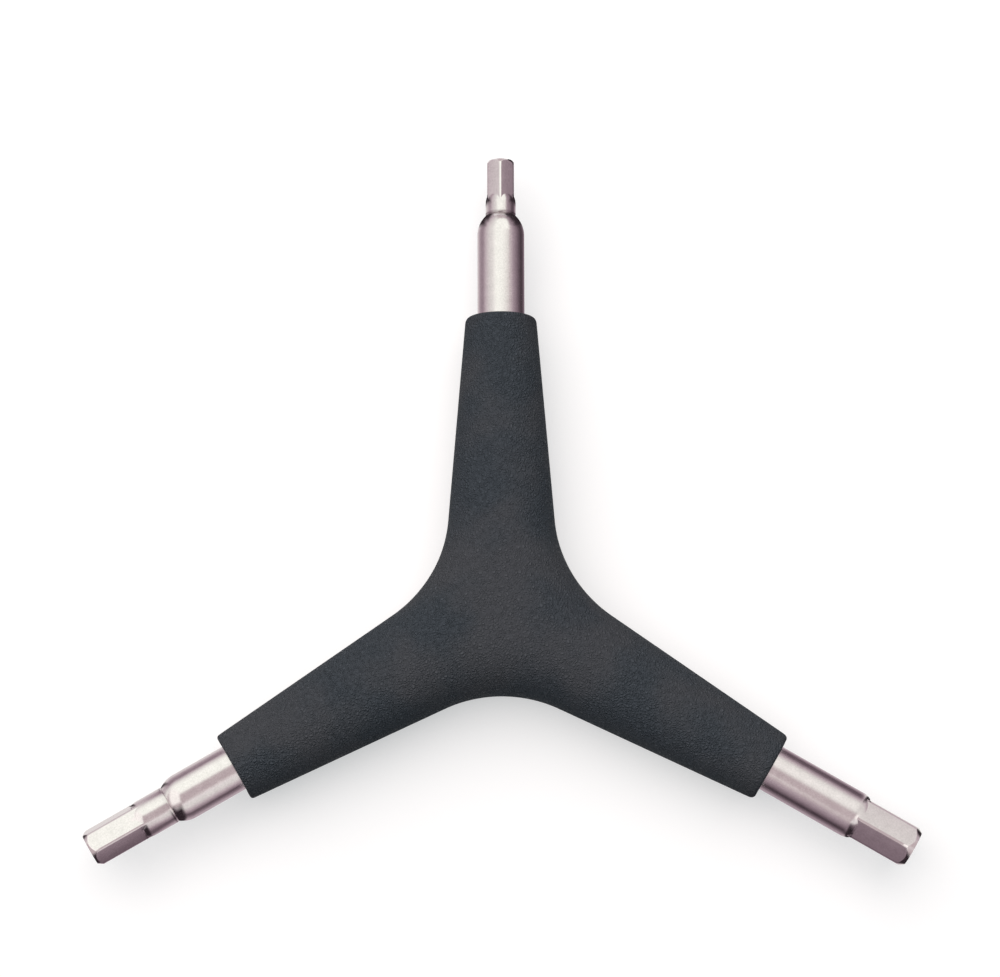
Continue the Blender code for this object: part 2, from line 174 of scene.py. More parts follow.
HEXAGON_TONES = {
    ("4mm", "left"): ((18, 1.20), (32, 1.05), (48, 0.90), (63, 0.70), (79, 0.45), (96, 0.60), (111, 0.80),
                      (126, 0.95)),
    ("4mm", "right"): ((30, 0.60), (46, 0.36), (63, 0.31), (78, 0.14), (94, 0.10), (110, 0.20), (125, 0.50)),
    ("5mm", "left"): ((34, 0.90), (53, 0.80), (69, 0.36), (80, 0.23), (86, 0.16), (102, 0.12), (119, 0.27),
                      (136, 0.55)),
    ("5mm", "right"): ((40, 1.38), (56, 1.20), (72, 0.80), (89, 0.65), (106, 0.75), (122, 0.95),
                       (155, 1.05)),
    ("6mm", "left"): ((-6, 1.02), (20, 1.02), (45, 0.95), (60, 0.70), (76, 0.50), (106, 0.90), (122, 1.10)),
    ("6mm", "right"): ((37, 0.28), (55, 0.26), (75, 0.23), (95, 0.10), (107, 0.12), (119, 0.50), (155, 0.9)),
}

# Black flags across each bit: where they begin and end, by the angle from the top round by the left
SHOULDER_FLAGS = {"4mm": (58, 314), "5mm": (24, 292), "6mm": (46, 328)}
TIP_FLAGS = {"4mm": (190, 310), "5mm": (28, 290), "6mm": (58, 330)}
FLAG_TONE = 0.03
FLAG_FADE = 22.0
FLAG_RIM_FADE = 0.5
FLAG_BEYOND_TIP = 0.0018
FLAG_RINGS = 8

# Roundness of the sections: 2 is an ellipse, more is fuller at the corners
HUB_FULLNESS = 2.4
ROOT_FULLNESS = 2.15
ROUND_FULLNESS = 2.0


def length(name, description, default):
    """A length property in metres."""
    return FloatProperty(name=name, description=description, default=default, unit='LENGTH', precision=5)


def share(name, description, default):
    """A plain number from 0 to 1."""
    return FloatProperty(name=name, description=description, default=default, min=0, max=1, subtype='FACTOR')


def turn(name, description, degrees):
    """An angle property, with its default given in degrees."""
    return FloatProperty(name=name, description=description, default=math.radians(degrees), unit='ROTATION')


def level(name, description, default):
    """Brightness of a light, where 1 shows a colour as it is written."""
    return FloatProperty(name=name, description=description, default=default, min=0)


def colour(name, description, default):
    """A linear colour property."""
    return FloatVectorProperty(name=name, description=description, default=default, size=3, min=0, max=1,
                               subtype='COLOR')


class GripSettings(PropertyGroup):
    """Sizes and finish of the soft grip."""

    mouth_radius: length("Mouth Radius", "Outer radius of the shortest arm at its mouth", 0.00522)
    taper: share("Taper", "Half-width that an arm loses for each metre of its length", 0.0846)
    crotch_fillet: length("Crotch Fillet", "Radius of the outline between two arms", 0.0192)
    crown_rise: length("Crown Rise", "Height of the hub's crown that is smoothed away to a flat", 0.0006)
    root_thickness: share("Root Thickness", "Thickness of an arm's root as a share of its width", 0.95)
    wall: length("Wall", "Thickness of the soft skin over the core", 0.0013)
    core_reach: length("Core Reach", "Where the core inside each arm ends", 0.0300)
    core_gap: length("Core Gap", "Room between the core's end and the skin", 0.0003)
    lip_gap: length("Lip Gap", "Room between a shank and the lip that closes on it", 0.00006)
    lip_edge: length("Lip Edge", "Depth of the crisp edge that the lip keeps", 0.0003)
    parting_height: length("Parting Height", "How far the mould's parting line stands proud", 0.00005)
    parting_width: length("Parting Width", "Half-width of the mould's parting line", 0.00022)
    skin_colour: colour("Skin", "Colour of the soft skin", (0.0715, 0.0760, 0.0835))
    cool_colour: colour("Cool Patches", "Colour of the bluer patches of the skin", (0.0630, 0.0745, 0.0865))
    pebble_size: length("Pebble Size", "Width of one pebble of the moulded grain", 0.00042)
    pebble_depth: length("Pebble Depth", "Depth of the moulded grain", 0.00026)
    patchiness: share("Patchiness", "How much of the grain is worn away in patches", 0.35)
    sheen: share("Sheen", "Strength of the skin's mirror reflection", 0.07)


def bit_settings(size, flats, shank_shown, shoulder, neck, rounding, tip_land, clocking, rim,
                 groove_grime):
    """Class of settings for one bit, with that bit's own sizes as its defaults."""
    fields = {
        "flats": length("Across Flats", "Size of the hexagon across its flats", flats),
        "shank_radius": length("Shank Radius", "Radius of the round shank", 0.0035),
        "shank_shown": length("Shank Shown", "Length of plain shank outside the grip", shank_shown),
        "shoulder": length("Shoulder", "Length over which the shank rounds down, or 0 for none", shoulder),
        "groove_depth": length("Groove Depth", "Depth of the fine groove before the neck", 0.0001),
        "groove_width": length("Groove Width", "Width of the fine groove before the neck", 0.0002),
        "neck": length("Neck", "Length of plain round neck behind the hexagon", neck),
        "rounding": length("Rounding", "Length over which the round bar gives way to the flats", rounding),
        "corner_land": turn("Corner Land", "Half the angle that each rounded corner takes up", 3.0),
        # Painted shade: the share by which the groove before the neck is darkened, where shade falls.
        "groove_grime": share("Groove Grime", "How much painted shade darkens the groove", groove_grime),
        "tip_land": length("Tip Land", "Depth of the end chamfer at the middle of a flat", tip_land),
        "tip_taper": share("Tip Taper", "Radius that the end chamfer loses for each metre", 0.7),
        "clocking": turn("Clocking", "Turn of the hexagon about its own axis", clocking),
        "rim": length("Grip Rim", "Rounding of the grip's mouth round this bit", rim),
        "pin_gap": length("Pin Gap", "Room between the cross pin and its hole", 0.0003),
    }
    body = {"__annotations__": fields, "__doc__": "Sizes of the %s bit." % size}
    return type("Bit%sSettings" % size, (PropertyGroup,), body)


# The last number of each bit sets how much painted shade darkens its groove.
Bit4mmSettings = bit_settings("4mm", flats=0.0040, shank_shown=0.0128, shoulder=0.0031, neck=0.0016,
                              rounding=0.0012, tip_land=0.00015, clocking=-2.0, rim=0.0005,
                              groove_grime=0.4)
Bit5mmSettings = bit_settings("5mm", flats=0.0050, shank_shown=0.0082, shoulder=0.0024, neck=0.0037,
                              rounding=0.0013, tip_land=0.00022, clocking=-20.5, rim=0.0004,
                              groove_grime=0.1)
Bit6mmSettings = bit_settings("6mm", flats=0.0060, shank_shown=0.0135, shoulder=0.0, neck=0.0,
                              rounding=0.0014, tip_land=0.00038, clocking=10.5, rim=0.0006,
                              groove_grime=0.0)


class SteelSettings(PropertyGroup):
    """Finish of the plated bits, and of the plain steel and nylon inside the grip."""

    plate_colour: colour("Plate", "Colour of the satin plating", (0.65, 0.615, 0.61))
    rubbed_colour: colour("Rubbed Corners", "Colour of the plating where it is rubbed", (0.70, 0.66, 0.66))
    # Painted shade: the dark colour that the groove is mixed towards.
    painted_shade_colour: colour("Grime", "Colour of the painted shade in the groove", (0.10, 0.055, 0.07))
    plate_roughness: share("Plate Roughness", "Roughness of the satin plating", 0.20)
    mottle_size: length("Mottle Size", "Width of the plating's fine mottling", 0.00028)
    mottle_depth: length("Mottle Depth", "Depth of the plating's fine mottling", 0.0000030)
    hub_colour: colour("Hub", "Colour of the cast hub", (0.42, 0.41, 0.40))
    pin_colour: colour("Pins", "Colour of the ground cross pins", (0.55, 0.54, 0.53))
    core_colour: colour("Core", "Colour of the nylon core", (0.020, 0.020, 0.022))


class StageSettings(PropertyGroup):
    """Camera, floor and lights."""

    camera_distance: length("Camera Distance", "From the lens to the middle of the hub", 0.5)
    camera_lens: FloatProperty(name="Lens", description="Focal length", default=123.2, unit='CAMERA')
    camera_pitch: turn("Pitch", "How far the camera leans from straight down", 11.35)
    camera_yaw: turn("Yaw", "Turn of the camera about the upright arm", 0.85)
    camera_roll: turn("Roll", "Turn of the camera about its own line of sight", 0.157)
    aim_across: length("Aim Across", "How far the hub sits to the right of the picture's middle", 0.000263)
    aim_up: length("Aim Up", "How far the hub sits above the picture's middle", -0.01844)
    fill_colour: colour("Fill", "Even light from the whole room", (0.08, 0.13, 0.155))
    room_colour: colour("Room", "Walls of the room as polished metal shows them", (0.71, 0.60, 0.625))
    softbox_level: level("Softbox", "Brightness of the softbox's face as polished metal shows it", 1.47)
    lamp_level: level("Lamp", "Brightness of the lamp behind the softbox's face", 2.45)
    front_level: level("Front Card", "Brightness of the white card in front", 1.12)
    floor_colour: colour("Floor", "Colour of the floor", (0.56, 0.56, 0.555))
    floor_glow: share("Floor Glow", "How much of the floor's white is its own", 0.50)
    bounce_colour: colour("Bounce", "Colour that the floor throws back on the wrench", (0.09, 0.10, 0.11))


class WrenchSettings(PropertyGroup):
    """Everything about the wrench and its stage that a user may change."""

    grip: PointerProperty(type=GripSettings)
    bit_4mm: PointerProperty(type=Bit4mmSettings)
    bit_5mm: PointerProperty(type=Bit5mmSettings)
    bit_6mm: PointerProperty(type=Bit6mmSettings)
    steel: PointerProperty(type=SteelSettings)
    stage: PointerProperty(type=StageSettings)


def along(angle):
    """Level direction at a turn from +X."""
    return Vector((math.cos(angle), math.sin(angle), 0))


def reach(node, angle):
    """How far a CAD node stands out from the middle of the hub along an arm."""
    outward = along(angle)
    return max(vert.co.dot(outward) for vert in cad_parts[node].data.vertices)


def arm_placement(angle):
    """Placement of an arm's own axes: X out along the arm, Z up, from the middle of the hub."""
    return Matrix.Translation((0, 0, MIDDLE)) @ Matrix.Rotation(angle, 4, 'Z')


def start_ring(bm, sides, ring_angle, crowding=0):
    """Edges of a circle whose vertices remember their angle from the top."""
    made = bmesh.ops.create_circle(bm, segments=sides, radius=1)
    for vert in made["verts"]:
        angle = math.atan2(vert.co.x, vert.co.y)
        vert[ring_angle] = angle + crowding / 2 * math.sin(2 * angle)
    return list(dict.fromkeys(edge for vert in made["verts"] for edge in vert.link_edges))


def place_ring(edges, ring_angle, placement, point_at):
    """Move a ring's vertices to the points that a section gives for their angles."""
    for vert in {vert for edge in edges for vert in edge.verts}:
        vert.co = placement @ point_at(vert[ring_angle])


def grow(bm, edges, ring_angle, placement, point_at):
    """Extrude a ring's edges and move the new ring to the next section."""
    made = bmesh.ops.extrude_edge_only(bm, edges=edges)["geom"]
    new_edges = [item for item in made if isinstance(item, bmesh.types.BMEdge)]
    place_ring(new_edges, ring_angle, placement, point_at)
    return new_edges


def add_object(name, data):
    """A new object in the scene."""
    made = bpy.data.objects.new(name, data)
    bpy.context.scene.collection.objects.link(made)
    return made


def add_mesh_object(name, bm):
    """A new object in the scene, made from a bmesh that is used up."""
    mesh = bpy.data.meshes.new(name)
    bm.to_mesh(mesh)
    bm.free()
    return add_object(name, mesh)


def weld(bm):
    """Join vertices that fall together, and turn every face outward."""
    bmesh.ops.remove_doubles(bm, verts=bm.verts, dist=WELD_DISTANCE)
    bmesh.ops.recalc_face_normals(bm, faces=bm.faces)


def finish_piece(name, bm, material, replaced):
    """Turn a closed bmesh into a piece that rides on the wrench in place of a CAD node."""
    weld(bm)
    piece = add_mesh_object(name, bm)
    piece.data.shade_smooth()
    piece.data.set_sharp_from_angle(angle=SHARP_ANGLE)
    piece.data.materials.append(material)
    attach(piece, "root")
    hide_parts(replaced)
    return piece


class GripForm(NamedTuple):
    """Outer form of the grip, symmetrical about its middle plane."""

    crotch: float
    crown: float
    flat: float
    blend: float
    root: float
    root_width: float
    root_height: float
    width_taper: float
    height_taper: float
    round_at: float


def section_point(half_width, half_height, fullness, angle):
    """Point of a rounded section: (across, up), with the angle taken from the top."""
    across = math.copysign(abs(math.sin(angle)) ** (2 / fullness), math.sin(angle))
    up = math.copysign(abs(math.cos(angle)) ** (2 / fullness), math.cos(angle))
    return half_width * across, half_height * up


def eased(form, point):
    """A point whose height eases into the flat that the hub has on each side."""
    height = abs(point.z)
    overlap = max(form.blend - abs(height - form.flat), 0) / form.blend
    height = min(height, form.flat) - overlap ** 2 * form.blend / 4
    return Vector((point.x, point.y, math.copysign(height, point.z)))


def seam_point(form, angle):
    """Point where two arms meet, in the plane half-way between them."""
    out, up = section_point(form.crotch, form.crown, HUB_FULLNESS, angle)
    side = math.copysign(1, out)
    return Vector((abs(out) * math.cos(HALF_ARM_STEP), side * abs(out) * math.sin(HALF_ARM_STEP), up))


def arm_point(form, distance, angle):
    """Point of a straight, tapered arm at a distance from the middle."""
    part = (distance - form.root) / (form.round_at - form.root)
    fullness = ROOT_FULLNESS + (ROUND_FULLNESS - ROOT_FULLNESS) * min(part, 1)
    half_width = form.root_width - form.width_taper * (distance - form.root)
    half_height = form.root_height - form.height_taper * (distance - form.root)
    across, up = section_point(half_width, half_height, fullness, angle)
    return Vector((distance, across, up))


def fillet_point(form, angle, part):
    """Point of the fillet that runs from the seam between two arms to the root of one."""
    start = seam_point(form, angle)
    end = arm_point(form, form.root, angle)
    side = math.copysign(1, start.y)
    spread = math.hypot(start.x, start.y) / form.crotch
    outline = arm_point(form, form.root, math.pi / 2) - seam_point(form, math.pi / 2)
    leave = Vector((math.sin(HALF_ARM_STEP), -side * math.cos(HALF_ARM_STEP), 0)) * outline.length * spread
    onward = Vector((1, -form.width_taper * end.y / form.root_width,
                     -form.height_taper * end.z / form.root_height))
    arrive = onward.normalized() * (end - start).length
    square, cube = part ** 2, part ** 3
    point = start * (2 * cube - 3 * square + 1) + leave * (cube - 2 * square + part)
    return point + end * (3 * square - 2 * cube) + arrive * (cube - square)


def round_point(distance, radius, angle):
    """Point of a round section."""
    return Vector((distance, *section_point(radius, radius, ROUND_FULLNESS, angle)))


def grip_form(grip, round_at):
    """Form whose arms taper to a round end and meet in tangent fillets."""
    slope = math.atan(grip.taper)
    to_bisector = HALF_ARM_STEP + slope
    centre_width = grip.mouth_radius + grip.taper * round_at
    corner = centre_width / (math.sin(HALF_ARM_STEP) + grip.taper * math.cos(HALF_ARM_STEP))
    crotch = corner + grip.crotch_fillet * (1 / math.sin(to_bisector) - 1)
    root = corner * math.cos(HALF_ARM_STEP) + grip.crotch_fillet / math.tan(to_bisector) * math.cos(slope)
    root_width = centre_width - grip.taper * root
    root_height = root_width * grip.root_thickness
    height_taper = (root_height - grip.mouth_radius) / (round_at - root)
    return GripForm(crotch, HALF_THICKNESS + grip.crown_rise, HALF_THICKNESS, grip.crown_rise, root,
                    root_width, root_height, grip.taper, height_taper, round_at)


def lined(form, depth):
    """The same form with every face moved in by a depth."""
    return form._replace(crotch=form.crotch - depth, crown=form.crown - depth, flat=form.flat - depth,
                         root_width=form.root_width - depth, root_height=form.root_height - depth)


def even(start, end, steps):
    """Values from start to end in even steps, both included."""
    return [start + (end - start) * step / steps for step in range(steps + 1)]


def skin_sections(form, mouth, rim, lip):
    """Sections of one arm's outer skin, from the seam to the lip that closes on the shank."""
    sections = [lambda angle, at=part: eased(form, fillet_point(form, angle, at))
                for part in even(0, 1, GRIP_FILLET_RINGS)[:-1]]
    sections += [lambda angle, at=distance: eased(form, arm_point(form, at, angle))
                 for distance in even(form.root, mouth - rim, GRIP_ARM_RINGS)]
    radius = form.root_width - form.width_taper * (mouth - form.root)
    for swing in even(0, math.pi / 2, GRIP_RIM_RINGS)[1:]:
        sections.append(lambda angle, at=mouth - rim * (1 - math.sin(swing)),
                        out=radius - rim * (1 - math.cos(swing)): round_point(at, out, angle))
    for out in even(radius - rim, lip, LIP_RINGS)[1:]:
        sections.append(lambda angle, out=out: round_point(mouth, out, angle))
    return sections


def lining_sections(form, mouth, bore, core_end):
    """Sections of one arm's inside, from the mouth back along the bore and the core to the seam."""
    sections = [lambda angle, at=distance: round_point(at, bore, angle) for distance in (mouth, core_end)]
    sections += [lambda angle, at=distance: eased(form, arm_point(form, at, angle))
                 for distance in even(core_end, form.root, LINING_RINGS)]
    sections += [lambda angle, at=part: eased(form, fillet_point(form, angle, at))
                 for part in even(1, 0, LINING_RINGS)[1:]]
    return sections


def raise_parting_line(bm, grip):
    """Lift the skin along the mould's parting line, in the middle plane."""
    weld(bm)
    bm.normal_update()
    for vert in bm.verts:
        nearness = 1 - abs(vert.co.z - MIDDLE) / grip.parting_width
        if nearness > 0 and not vert.is_boundary:
            vert.co += vert.normal * grip.parting_height * nearness


def model_grip(grip, bits):
    """Bmesh of the soft skin: its outside, its rounded mouths, and its lining round the core."""
    bm = bmesh.new()
    ring_angle = bm.verts.layers.float.new("ring_angle")
    reaches = {size: reach("grip", angle) for size, angle in ARM_TURNS.items()}
    form = grip_form(grip, min(reaches.values()))
    mouths = {}
    for size, angle in ARM_TURNS.items():
        placement = arm_placement(angle)
        lip = bits[size].shank_radius + grip.lip_gap
        sections = skin_sections(form, reaches[size], bits[size].rim, lip)
        edges = start_ring(bm, GRIP_SIDES, ring_angle, SIDE_CROWDING)
        place_ring(edges, ring_angle, placement, sections[0])
        for section in sections[1:]:
            edges = grow(bm, edges, ring_angle, placement, section)
        mouths[size] = edges, lip
    raise_parting_line(bm, grip)
    hollow = lined(form, grip.wall)
    for size, (edges, lip) in mouths.items():
        for section in lining_sections(hollow, reaches[size] - grip.lip_edge, lip,
                                       grip.core_reach + grip.core_gap):
            edges = grow(bm, edges, ring_angle, arm_placement(ARM_TURNS[size]), section)
    return bm


class BitPlaces(NamedTuple):
    """Distances along a bit from the middle of the hub."""

    foot: float
    shoulder: float
    groove: float
    neck: float
    rounding: float
    hexagon: float
    chamfer: float
    tip: float


def corner_radius(bit):
    """Half the hexagon's size across its rounded corners."""
    return bit.flats / 2 / math.cos(HEX_STEP / 2 - bit.corner_land)


def bar_radius(bit):
    """Radius of the round bar behind the hexagon: a neck, or the shank where it has no shoulder."""
    return corner_radius(bit) if bit.shoulder else bit.shank_radius


def bit_places(size, bit):
    """Where each part of a bit begins, from the frame's solids and the bit's own lengths."""
    angle = ARM_TURNS[size]
    node = "hex_bit_" + size
    tip = reach(node, angle)
    shoulder = reach("grip", angle) + bit.shank_shown
    groove = shoulder + bit.shoulder
    neck = groove + (bit.groove_width if bit.shoulder else 0)
    rounding = neck + bit.neck
    chamfer = tip - (corner_radius(bit) - bit.flats / 2 + bit.tip_land) / bit.tip_taper
    return BitPlaces(-reach(node, angle + math.pi), shoulder, groove, neck, rounding,
                     rounding + bit.rounding, chamfer, tip)


def fallen(start, end, distance):
    """Radius at a distance on the arc that leaves start along the axis and falls to end."""
    span, drop = end[0] - start[0], start[1] - end[1]
    arc_radius = (span ** 2 + drop ** 2) / (2 * drop)
    onward = min(max(distance - start[0], 0), span)
    return start[1] - arc_radius + math.sqrt(arc_radius ** 2 - onward ** 2)


def bar_end(bit, places, distance):
    """Radius of the bar's rounded end, which falls to the flats."""
    return fallen((places.rounding, bar_radius(bit)), (places.hexagon, bit.flats / 2), distance)


def bit_profile(bit, places):
    """Turned outline of a bit, from the middle of its foot to the middle of its end face."""
    shank, bar, corner = bit.shank_radius, bar_radius(bit), corner_radius(bit)
    tip = bit.flats / 2 - bit.tip_land
    points = [(places.foot, 0), (places.foot, shank - bit.tip_land), (places.foot + bit.tip_land, shank),
              (places.shoulder, shank)]
    if bit.shoulder:
        arc = ((places.shoulder, shank), (places.groove, bar - bit.groove_depth))
        points += [(at, fallen(*arc, at)) for at in even(places.shoulder, places.groove, SHOULDER_RINGS)[1:]]
        points += [(at, bar - bit.groove_depth * (1 - (at - places.groove) / bit.groove_width) ** 2)
                   for at in even(places.groove, places.neck, GROOVE_RINGS)[1:]]
        points += [(at, bar) for at in even(places.neck, places.rounding, HEX_RINGS)[1:]]
    points += [(at, max(bar_end(bit, places, at), corner))
               for at in even(places.rounding, places.hexagon, ROUNDING_RINGS)[1:]]
    points += [(at, corner) for at in even(places.hexagon, places.chamfer, HEX_RINGS)[1:]]
    points += [(places.tip - (radius - tip) / bit.tip_taper, radius)
               for radius in even(corner, tip, CHAMFER_RINGS)[1:]]
    return points + [(places.tip, 0)]


def grind_hexagon(bm, bit, places, edge):
    """Draw the turned surface in to the six flats, and mark the rounded corners that this leaves."""
    for vert in bm.verts:
        radius = math.hypot(vert.co.y, vert.co.z)
        if vert.co.x <= places.rounding or radius < WELD_DISTANCE:
            continue
        off_middle = math.atan2(vert.co.y, vert.co.z) % HEX_STEP - HEX_STEP / 2
        limit = max(bit.flats / 2 / math.cos(off_middle), bar_end(bit, places, vert.co.x))
        if radius > limit:
            vert.co.y *= limit / radius
            vert.co.z *= limit / radius
        elif vert.co.x > places.hexagon - bit.rounding / 2:
            vert[edge] = 1


def model_bit(size, bit):
    """Bmesh of one steel bit: shank, shoulder, neck and hexagon in a single bar."""
    places = bit_places(size, bit)
    bm = bmesh.new()
    edge, grime = bm.verts.layers.float.new("edge"), bm.verts.layers.float.new("grime")
    verts = [bm.verts.new((distance, 0, radius)) for distance, radius in bit_profile(bit, places)]
    edges = [bm.edges.new(pair) for pair in zip(verts, verts[1:])]
    bmesh.ops.spin(bm, geom=verts + edges, cent=(0, 0, 0), axis=(1, 0, 0), angle=math.tau,
                   steps=BIT_SIDES, use_merge=True)
    bmesh.ops.remove_doubles(bm, verts=bm.verts, dist=WELD_DISTANCE)
    grind_hexagon(bm, bit, places, edge)
    # Mark the groove for painted shade, by each bit's share.
    for vert in bm.verts:
        if places.groove - WELD_DISTANCE < vert.co.x < places.neck + WELD_DISTANCE:
            vert[grime] = bit.groove_grime
    bmesh.ops.rotate(bm, verts=bm.verts, cent=(0, 0, 0), matrix=Matrix.Rotation(bit.clocking, 3, 'X'))
    bmesh.ops.transform(bm, verts=bm.verts, matrix=arm_placement(ARM_TURNS[size]))
    return bm


def cut_cross_hole(piece, size, gap):
    """Bore the hole for the cross pin, with a gap round the pin."""
    low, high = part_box("hub_pin_" + size)
    bore = bmesh.new()
    radius = (high.x - low.x) / 2 + gap
    place = Matrix.Translation((low + high) / 2)
    bmesh.ops.create_cone(bore, cap_ends=True, segments=HOLE_SIDES, radius1=radius, radius2=radius,
                          depth=high.z - low.z, matrix=place)
    cutter = add_mesh_object("cross_hole", bore)
    modifier = piece.modifiers.new("cross_hole", 'BOOLEAN')
    modifier.operation = 'DIFFERENCE'
    modifier.solver = 'EXACT'
    modifier.object = cutter
    bpy.context.view_layer.update()
    whole = piece.evaluated_get(bpy.context.evaluated_depsgraph_get())
    piece.data = bpy.data.meshes.new_from_object(whole)
    piece.modifiers.clear()
    bpy.data.objects.remove(cutter)


def add_node(tree, kind, inputs, **options):
    """Add a shader node; an input is a value, or another node's output to link."""
    made = tree.nodes.new("ShaderNode" + kind)
    for name, value in options.items():
        setattr(made, name, value)
    for name, value in inputs.items():
        if isinstance(value, bpy.types.NodeSocket):
            tree.links.new(value, made.inputs[name])
        else:
            made.inputs[name].default_value = value
    return made


def new_group(name, numbers, outputs):
    """A shader node group that takes a place and some numbers and gives numbers, and its two end nodes."""
    tree = bpy.data.node_groups.new(name, 'ShaderNodeTree')
    tree.interface.new_socket("Place", in_out='INPUT', socket_type='NodeSocketVector')
    for way, sockets in (('INPUT', numbers), ('OUTPUT', outputs)):
        for socket in sockets:
            tree.interface.new_socket(socket, in_out=way, socket_type='NodeSocketFloat')
    return tree, tree.nodes.new("NodeGroupInput").outputs, tree.nodes.new("NodeGroupOutput").inputs


def use_group(tree, group, inputs):
    """Place a node group in a material, and give back its outputs."""
    return add_node(tree, "Group", inputs, node_tree=group).outputs


def mix_colours(tree, factor, first, second):
    """Output of a node that mixes two colours."""
    mixed = add_node(tree, "Mix", {0: factor, 6: first, 7: second}, data_type='RGBA')
    return mixed.outputs[2]


def calculated(tree, first, second, operation='MULTIPLY'):
    """Output of a node that does one sum with two numbers."""
    return add_node(tree, "Math", {0: first, 1: second}, operation=operation).outputs[0]


def combined(tree, first, second, operation='MULTIPLY'):
    """Output of a node that does one sum with two vectors or colours."""
    return add_node(tree, "VectorMath", {0: first, 1: second}, operation=operation).outputs[0]


def around(mean, spread):
    """Range that reaches as far to each side of its mean."""
    return mean - spread, mean + spread


def remapped(tree, socket, old_range, new_range):
    """Output of a node that spreads a range of values smoothly over another."""
    inputs = {"Value": socket, "From Min": old_range[0], "From Max": old_range[1],
              "To Min": new_range[0], "To Max": new_range[1]}
    return add_node(tree, "MapRange", inputs, interpolation_type='SMOOTHSTEP').outputs[0]


def noise(tree, place, fineness, octaves, roughness=0.5):
    """Outputs of a noise texture."""
    inputs = {"Vector": place, "Scale": fineness, "Detail": octaves, "Roughness": roughness}
    return add_node(tree, "TexNoise", inputs).outputs


def painted(tree, name):
    """Number that each vertex of the mesh carries."""
    return add_node(tree, "Attribute", {}, attribute_name=name).outputs["Fac"]


def own_place(tree):
    """Coordinates of the object itself."""
    return tree.nodes.new("ShaderNodeTexCoord").outputs["Object"]


def pebbled_grain_group():
    """Moulded leather grain: warped pebbles of one size, worn smoother in patches."""
    tree, given, result = new_group("pebbled_grain", ("Fineness", "Patchiness"),
                                    ("Height", "Patch", "Fleck"))
    place, fineness = given["Place"], given["Fineness"]
    warp = noise(tree, place, calculated(tree, fineness, WARP_FINENESS), BROAD_OCTAVES)["Color"]
    moved = combined(tree, place, combined(tree, warp, (WARP_REACH,) * 3), 'ADD')
    cells = add_node(tree, "TexVoronoi", {"Vector": moved, "Scale": fineness}, feature='DISTANCE_TO_EDGE')
    pebbles = remapped(tree, cells.outputs["Distance"], PEBBLE_SLOPE, WHOLE)
    creases = noise(tree, moved, calculated(tree, fineness, CREASE_FINENESS), CREASE_OCTAVES,
                    CREASE_ROUGHNESS)["Fac"]
    both = calculated(tree, calculated(tree, creases, CREASE_SHARE), pebbles, 'ADD')
    patch = remapped(tree, noise(tree, place, PATCH_FINENESS, BROAD_OCTAVES)["Fac"], NOISE_RANGE, WHOLE)
    worn = calculated(tree, calculated(tree, 1.0, patch, 'SUBTRACT'), given["Patchiness"])
    strength = calculated(tree, 1.0, worn, 'SUBTRACT')
    tree.links.new(calculated(tree, both, strength), result["Height"])
    tree.links.new(patch, result["Patch"])
    # The grain's relief, which the skin reads for painted shade in its hollows and for its roughness.
    tree.links.new(both, result["Fleck"])
    return tree


def mottle_group():
    """Fine cloudy mottling, as on tumbled and plated metal."""
    tree, given, result = new_group("mottle", ("Fineness",), ("Height", "Cloud"))
    place, fineness = given["Place"], given["Fineness"]
    fine = noise(tree, place, fineness, MOTTLE_OCTAVES, MOTTLE_ROUGHNESS)["Fac"]
    cloud = noise(tree, place, calculated(tree, fineness, CLOUD_FINENESS), BROAD_OCTAVES)["Fac"]
    tree.links.new(fine, result["Height"])
    tree.links.new(cloud, result["Cloud"])
    return tree


def new_material(name):
    """A new node material, its tree and its shader's inputs."""
    material = bpy.data.materials.new(name)
    material.use_nodes = True
    return material, material.node_tree, material.node_tree.nodes["Principled BSDF"].inputs


def opaque(rgb):
    """A colour property's value as a shader wants it."""
    return (*rgb, 1.0)


def add_bump(tree, shader, height, depth):
    """Raise a surface by a height, whose full range is a real depth."""
    bump = add_node(tree, "Bump", {"Height": height, "Distance": depth, "Strength": 1.0})
    tree.links.new(bump.outputs["Normal"], shader["Normal"])


def skin_material(grip, grain):
    """Soft skin: dark grey rubber with a moulded leather grain and faint bluer patches."""
    material, tree, shader = new_material("soft_skin")
    found = use_group(tree, grain, {"Place": own_place(tree), "Fineness": 1 / grip.pebble_size,
                                    "Patchiness": grip.patchiness})
    tone = mix_colours(tree, found["Patch"], opaque(grip.skin_colour), opaque(grip.cool_colour))
    # Painted shade: the grain's hollows are darkened and its pebble tops lightened.
    hollow_shade = remapped(tree, found["Fleck"], RELIEF_SHADE_RANGE, around(1, SKIN_HOLLOW_SHADING))
    tree.links.new(combined(tree, tone, hollow_shade), shader["Base Color"])
    tree.links.new(remapped(tree, found["Fleck"], RELIEF_RANGE, SKIN_ROUGHNESS), shader["Roughness"])
    shader["Specular IOR Level"].default_value = grip.sheen
    add_bump(tree, shader, found["Height"], grip.pebble_depth)
    return material


